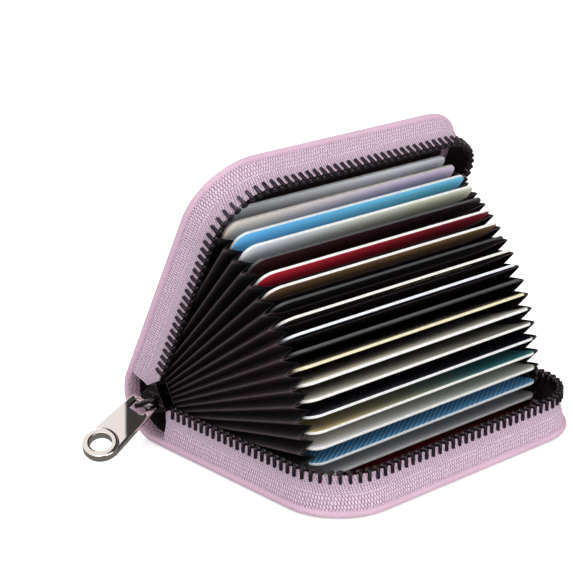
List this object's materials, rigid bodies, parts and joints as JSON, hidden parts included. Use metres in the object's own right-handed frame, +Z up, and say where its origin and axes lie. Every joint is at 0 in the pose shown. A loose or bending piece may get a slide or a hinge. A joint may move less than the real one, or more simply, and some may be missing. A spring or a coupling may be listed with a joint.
{
  "type": "accordion card wallet",
  "caption": "Zip-around leather card wallet standing open, its accordion pockets fanned out and holding cards, with a metal pull on the slider.",
  "frame": {"origin": "centre of the bottom cover's underside, where the wallet rests on the table", "axes": "+Z up from the table, +X along the spine and the long side of the cards, -Y out of the mouth; the spine is at +Y and the slider's end at -X"},
  "size_m": [0.1241, 0.0877, 0.0849],
  "materials": {
    "leather": "lilac-mauve pebbled leather with a fine grain and a soft sheen",
    "lining": "near-black aubergine woven lining, dull with a faint brown sheen",
    "zip": "lilac woven zip tape, with its dark gunmetal teeth clamped on the edge",
    "gunmetal": "dark polished gunmetal plating, bright reflections",
    "card_dark_red": "smooth printed card with a pale edge",
    "card_grey": "smooth printed card with a pale edge",
    "card_striped_blue": "smooth printed card with a pale edge",
    "card_pale_grey": "smooth printed card with a pale edge",
    "card_teal": "smooth printed card with a pale edge",
    "card_midnight": "smooth printed card with a pale edge",
    "card_mid_grey": "smooth printed card with a pale edge",
    "card_white": "smooth printed card with a pale edge",
    "card_cream": "smooth printed card with a pale edge",
    "card_charcoal": "smooth printed card with a pale edge",
    "card_navy": "smooth printed card with a pale edge",
    "card_dark_brown": "smooth printed card with a pale edge",
    "card_black": "smooth printed card with a pale edge",
    "card_brown": "smooth printed card with a pale edge",
    "card_crimson": "smooth printed card with a pale edge",
    "card_gloss_black": "smooth printed card with a pale edge",
    "card_silver": "smooth printed card with a pale edge",
    "card_sky_blue": "smooth printed card with a pale edge",
    "card_lilac": "smooth printed card with a pale edge",
    "card_blue_grey": "smooth printed card with a pale edge"
  },
  "bodies": {
    "bottom_cover": {"bottom_cover_leather": "leather", "bottom_cover_panel": "lining", "bottom_zip_strand": "zip", "bottom_end_stop": "gunmetal", "spine_leather": "leather", "spine_lining": "lining", "left_gusset": "lining", "right_gusset": "lining", "pocket_backing": "lining", "slider_body": "gunmetal"},
    "top_cover": {"top_cover_leather": "leather", "top_cover_panel": "lining", "top_zip_strand": "zip", "top_end_stop": "gunmetal"},
    "pull": {"slider_pull": "gunmetal"},
    "leaf_01": {"leaf_01": "lining"},
    "leaf_02": {"leaf_02": "lining"},
    "leaf_03": {"leaf_03": "lining"},
    "leaf_04": {"leaf_04": "lining"},
    "leaf_05": {"leaf_05": "lining"},
    "leaf_06": {"leaf_06": "lining"},
    "leaf_07": {"leaf_07": "lining"},
    "leaf_08": {"leaf_08": "lining"},
    "leaf_09": {"leaf_09": "lining"},
    "leaf_10": {"leaf_10": "lining"},
    "leaf_11": {"leaf_11": "lining"},
    "leaf_12": {"leaf_12": "lining"},
    "leaf_13": {"leaf_13": "lining"},
    "leaf_14": {"leaf_14": "lining"},
    "leaf_15": {"leaf_15": "lining"},
    "leaf_16": {"leaf_16": "lining"},
    "leaf_17": {"leaf_17": "lining"},
    "leaf_18": {"leaf_18": "lining"},
    "leaf_19": {"leaf_19": "lining"},
    "card_01": {"card_01": "card_dark_red"},
    "card_02": {"card_02": "card_grey"},
    "card_03": {"card_03": "card_striped_blue"},
    "card_04": {"card_04": "card_pale_grey"},
    "card_05": {"card_05": "card_teal"},
    "card_06": {"card_06": "card_midnight"},
    "card_07": {"card_07": "card_mid_grey"},
    "card_08": {"card_08": "card_white"},
    "card_09": {"card_09": "card_cream"},
    "card_10": {"card_10": "card_charcoal"},
    "card_11": {"card_11": "card_navy"},
    "card_12": {"card_12": "card_dark_brown"},
    "card_13": {"card_13": "card_black"},
    "card_14": {"card_14": "card_brown"},
    "card_15": {"card_15": "card_crimson"},
    "card_16": {"card_16": "card_gloss_black"},
    "card_17": {"card_17": "card_silver"},
    "card_18": {"card_18": "card_sky_blue"},
    "card_19": {"card_19": "card_lilac"},
    "card_20": {"card_20": "card_blue_grey"}
  },
  "joints": [
    {"name": "cover_hinge", "type": "hinge", "parent": "bottom_cover", "child": "top_cover", "pos_m": [0, 0.0375, 0.0127], "axis": [-1, 0, 0], "range_deg": [-62, 28], "deforming": ["spine_leather", "spine_lining", "left_gusset", "right_gusset", "pocket_backing"]},
    {"name": "leaf_01_hinge", "type": "hinge", "parent": "bottom_cover", "child": "leaf_01", "pos_m": [0, 0.0375, 0.0127], "axis": [-1, 0, 0], "range_deg": [-3.1, 1.4]},
    {"name": "leaf_02_hinge", "type": "hinge", "parent": "bottom_cover", "child": "leaf_02", "pos_m": [0, 0.0375, 0.0127], "axis": [-1, 0, 0], "range_deg": [-6.2, 2.8]},
    {"name": "leaf_03_hinge", "type": "hinge", "parent": "bottom_cover", "child": "leaf_03", "pos_m": [0, 0.0375, 0.0127], "axis": [-1, 0, 0], "range_deg": [-9.3, 4.2]},
    {"name": "leaf_04_hinge", "type": "hinge", "parent": "bottom_cover", "child": "leaf_04", "pos_m": [0, 0.0375, 0.0127], "axis": [-1, 0, 0], "range_deg": [-12.4, 5.6]},
    {"name": "leaf_05_hinge", "type": "hinge", "parent": "bottom_cover", "child": "leaf_05", "pos_m": [0, 0.0375, 0.0127], "axis": [-1, 0, 0], "range_deg": [-15.5, 7]},
    {"name": "leaf_06_hinge", "type": "hinge", "parent": "bottom_cover", "child": "leaf_06", "pos_m": [0, 0.0375, 0.0127], "axis": [-1, 0, 0], "range_deg": [-18.6, 8.4]},
    {"name": "leaf_07_hinge", "type": "hinge", "parent": "bottom_cover", "child": "leaf_07", "pos_m": [0, 0.0375, 0.0127], "axis": [-1, 0, 0], "range_deg": [-21.7, 9.8]},
    {"name": "leaf_08_hinge", "type": "hinge", "parent": "bottom_cover", "child": "leaf_08", "pos_m": [0, 0.0375, 0.0127], "axis": [-1, 0, 0], "range_deg": [-24.8, 11.2]},
    {"name": "leaf_09_hinge", "type": "hinge", "parent": "bottom_cover", "child": "leaf_09", "pos_m": [0, 0.0375, 0.0127], "axis": [-1, 0, 0], "range_deg": [-27.9, 12.6]},
    {"name": "leaf_10_hinge", "type": "hinge", "parent": "bottom_cover", "child": "leaf_10", "pos_m": [0, 0.0375, 0.0127], "axis": [-1, 0, 0], "range_deg": [-31, 14]},
    {"name": "leaf_11_hinge", "type": "hinge", "parent": "bottom_cover", "child": "leaf_11", "pos_m": [0, 0.0375, 0.0127], "axis": [-1, 0, 0], "range_deg": [-34.1, 15.4]},
    {"name": "leaf_12_hinge", "type": "hinge", "parent": "bottom_cover", "child": "leaf_12", "pos_m": [0, 0.0375, 0.0127], "axis": [-1, 0, 0], "range_deg": [-37.2, 16.8]},
    {"name": "leaf_13_hinge", "type": "hinge", "parent": "bottom_cover", "child": "leaf_13", "pos_m": [0, 0.0375, 0.0127], "axis": [-1, 0, 0], "range_deg": [-40.3, 18.2]},
    {"name": "leaf_14_hinge", "type": "hinge", "parent": "bottom_cover", "child": "leaf_14", "pos_m": [0, 0.0375, 0.0127], "axis": [-1, 0, 0], "range_deg": [-43.4, 19.6]},
    {"name": "leaf_15_hinge", "type": "hinge", "parent": "bottom_cover", "child": "leaf_15", "pos_m": [0, 0.0375, 0.0127], "axis": [-1, 0, 0], "range_deg": [-46.5, 21]},
    {"name": "leaf_16_hinge", "type": "hinge", "parent": "bottom_cover", "child": "leaf_16", "pos_m": [0, 0.0375, 0.0127], "axis": [-1, 0, 0], "range_deg": [-49.6, 22.4]},
    {"name": "leaf_17_hinge", "type": "hinge", "parent": "bottom_cover", "child": "leaf_17", "pos_m": [0, 0.0375, 0.0127], "axis": [-1, 0, 0], "range_deg": [-52.7, 23.8]},
    {"name": "leaf_18_hinge", "type": "hinge", "parent": "bottom_cover", "child": "leaf_18", "pos_m": [0, 0.0375, 0.0127], "axis": [-1, 0, 0], "range_deg": [-55.8, 25.2]},
    {"name": "leaf_19_hinge", "type": "hinge", "parent": "bottom_cover", "child": "leaf_19", "pos_m": [0, 0.0375, 0.0127], "axis": [-1, 0, 0], "range_deg": [-58.9, 26.6]},
    {"name": "card_01_slide", "type": "slide", "parent": "bottom_cover", "child": "card_01", "axis": [0, -1, 0], "range_m": [0, 0.0055]},
    {"name": "card_02_slide", "type": "slide", "parent": "leaf_01", "child": "card_02", "axis": [0, -0.9985, 0.0541], "range_m": [0, 0.0055]},
    {"name": "card_03_slide", "type": "slide", "parent": "leaf_02", "child": "card_03", "axis": [0, -0.9942, 0.108], "range_m": [0, 0.0055]},
    {"name": "card_04_slide", "type": "slide", "parent": "leaf_03", "child": "card_04", "axis": [0, -0.9869, 0.1616], "range_m": [0, 0.05]},
    {"name": "card_05_slide", "type": "slide", "parent": "leaf_04", "child": "card_05", "axis": [0, -0.9767, 0.2147], "range_m": [0, 0.05]},
    {"name": "card_06_slide", "type": "slide", "parent": "leaf_05", "child": "card_06", "axis": [0, -0.9636, 0.2672], "range_m": [0, 0.05]},
    {"name": "card_07_slide", "type": "slide", "parent": "leaf_06", "child": "card_07", "axis": [0, -0.9478, 0.319], "range_m": [0, 0.05]},
    {"name": "card_08_slide", "type": "slide", "parent": "leaf_07", "child": "card_08", "axis": [0, -0.9291, 0.3697], "range_m": [0, 0.05]},
    {"name": "card_09_slide", "type": "slide", "parent": "leaf_08", "child": "card_09", "axis": [0, -0.9078, 0.4195], "range_m": [0, 0.05]},
    {"name": "card_10_slide", "type": "slide", "parent": "leaf_09", "child": "card_10", "axis": [0, -0.8838, 0.4679], "range_m": [0, 0.05]},
    {"name": "card_11_slide", "type": "slide", "parent": "leaf_10", "child": "card_11", "axis": [0, -0.8572, 0.515], "range_m": [0, 0.05]},
    {"name": "card_12_slide", "type": "slide", "parent": "leaf_11", "child": "card_12", "axis": [0, -0.8281, 0.5606], "range_m": [0, 0.05]},
    {"name": "card_13_slide", "type": "slide", "parent": "leaf_12", "child": "card_13", "axis": [0, -0.7965, 0.6046], "range_m": [0, 0.05]},
    {"name": "card_14_slide", "type": "slide", "parent": "leaf_13", "child": "card_14", "axis": [0, -0.7627, 0.6468], "range_m": [0, 0.05]},
    {"name": "card_15_slide", "type": "slide", "parent": "leaf_14", "child": "card_15", "axis": [0, -0.7266, 0.6871], "range_m": [0, 0.05]},
    {"name": "card_16_slide", "type": "slide", "parent": "leaf_15", "child": "card_16", "axis": [0, -0.6884, 0.7254], "range_m": [0, 0.05]},
    {"name": "card_17_slide", "type": "slide", "parent": "leaf_16", "child": "card_17", "axis": [0, -0.6481, 0.7615], "range_m": [0, 0.05]},
    {"name": "card_18_slide", "type": "slide", "parent": "leaf_17", "child": "card_18", "axis": [0, -0.606, 0.7955], "range_m": [0, 0.05]},
    {"name": "card_19_slide", "type": "slide", "parent": "leaf_18", "child": "card_19", "axis": [0, -0.5621, 0.8271], "range_m": [0, 0.0055]},
    {"name": "card_20_slide", "type": "slide", "parent": "leaf_19", "child": "card_20", "axis": [0, -0.5165, 0.8563], "range_m": [0, 0.0055]},
    {"name": "pull_swing", "type": "hinge", "parent": "bottom_cover", "child": "pull", "pos_m": [-0.05205, 0.0375, 0.0127], "axis": [-0.2577, 0.9182, 0.301], "range_deg": [-12, 54]}
  ],
  "couplings": [
    {"joint": "leaf_01_hinge", "follows": "cover_hinge", "ratio": 0.05},
    {"joint": "leaf_02_hinge", "follows": "cover_hinge", "ratio": 0.1},
    {"joint": "leaf_03_hinge", "follows": "cover_hinge", "ratio": 0.15},
    {"joint": "leaf_04_hinge", "follows": "cover_hinge", "ratio": 0.2},
    {"joint": "leaf_05_hinge", "follows": "cover_hinge", "ratio": 0.25},
    {"joint": "leaf_06_hinge", "follows": "cover_hinge", "ratio": 0.3},
    {"joint": "leaf_07_hinge", "follows": "cover_hinge", "ratio": 0.35},
    {"joint": "leaf_08_hinge", "follows": "cover_hinge", "ratio": 0.4},
    {"joint": "leaf_09_hinge", "follows": "cover_hinge", "ratio": 0.45},
    {"joint": "leaf_10_hinge", "follows": "cover_hinge", "ratio": 0.5},
    {"joint": "leaf_11_hinge", "follows": "cover_hinge", "ratio": 0.55},
    {"joint": "leaf_12_hinge", "follows": "cover_hinge", "ratio": 0.6},
    {"joint": "leaf_13_hinge", "follows": "cover_hinge", "ratio": 0.65},
    {"joint": "leaf_14_hinge", "follows": "cover_hinge", "ratio": 0.7},
    {"joint": "leaf_15_hinge", "follows": "cover_hinge", "ratio": 0.75},
    {"joint": "leaf_16_hinge", "follows": "cover_hinge", "ratio": 0.8},
    {"joint": "leaf_17_hinge", "follows": "cover_hinge", "ratio": 0.85},
    {"joint": "leaf_18_hinge", "follows": "cover_hinge", "ratio": 0.9},
    {"joint": "leaf_19_hinge", "follows": "cover_hinge", "ratio": 0.95}
  ]
}
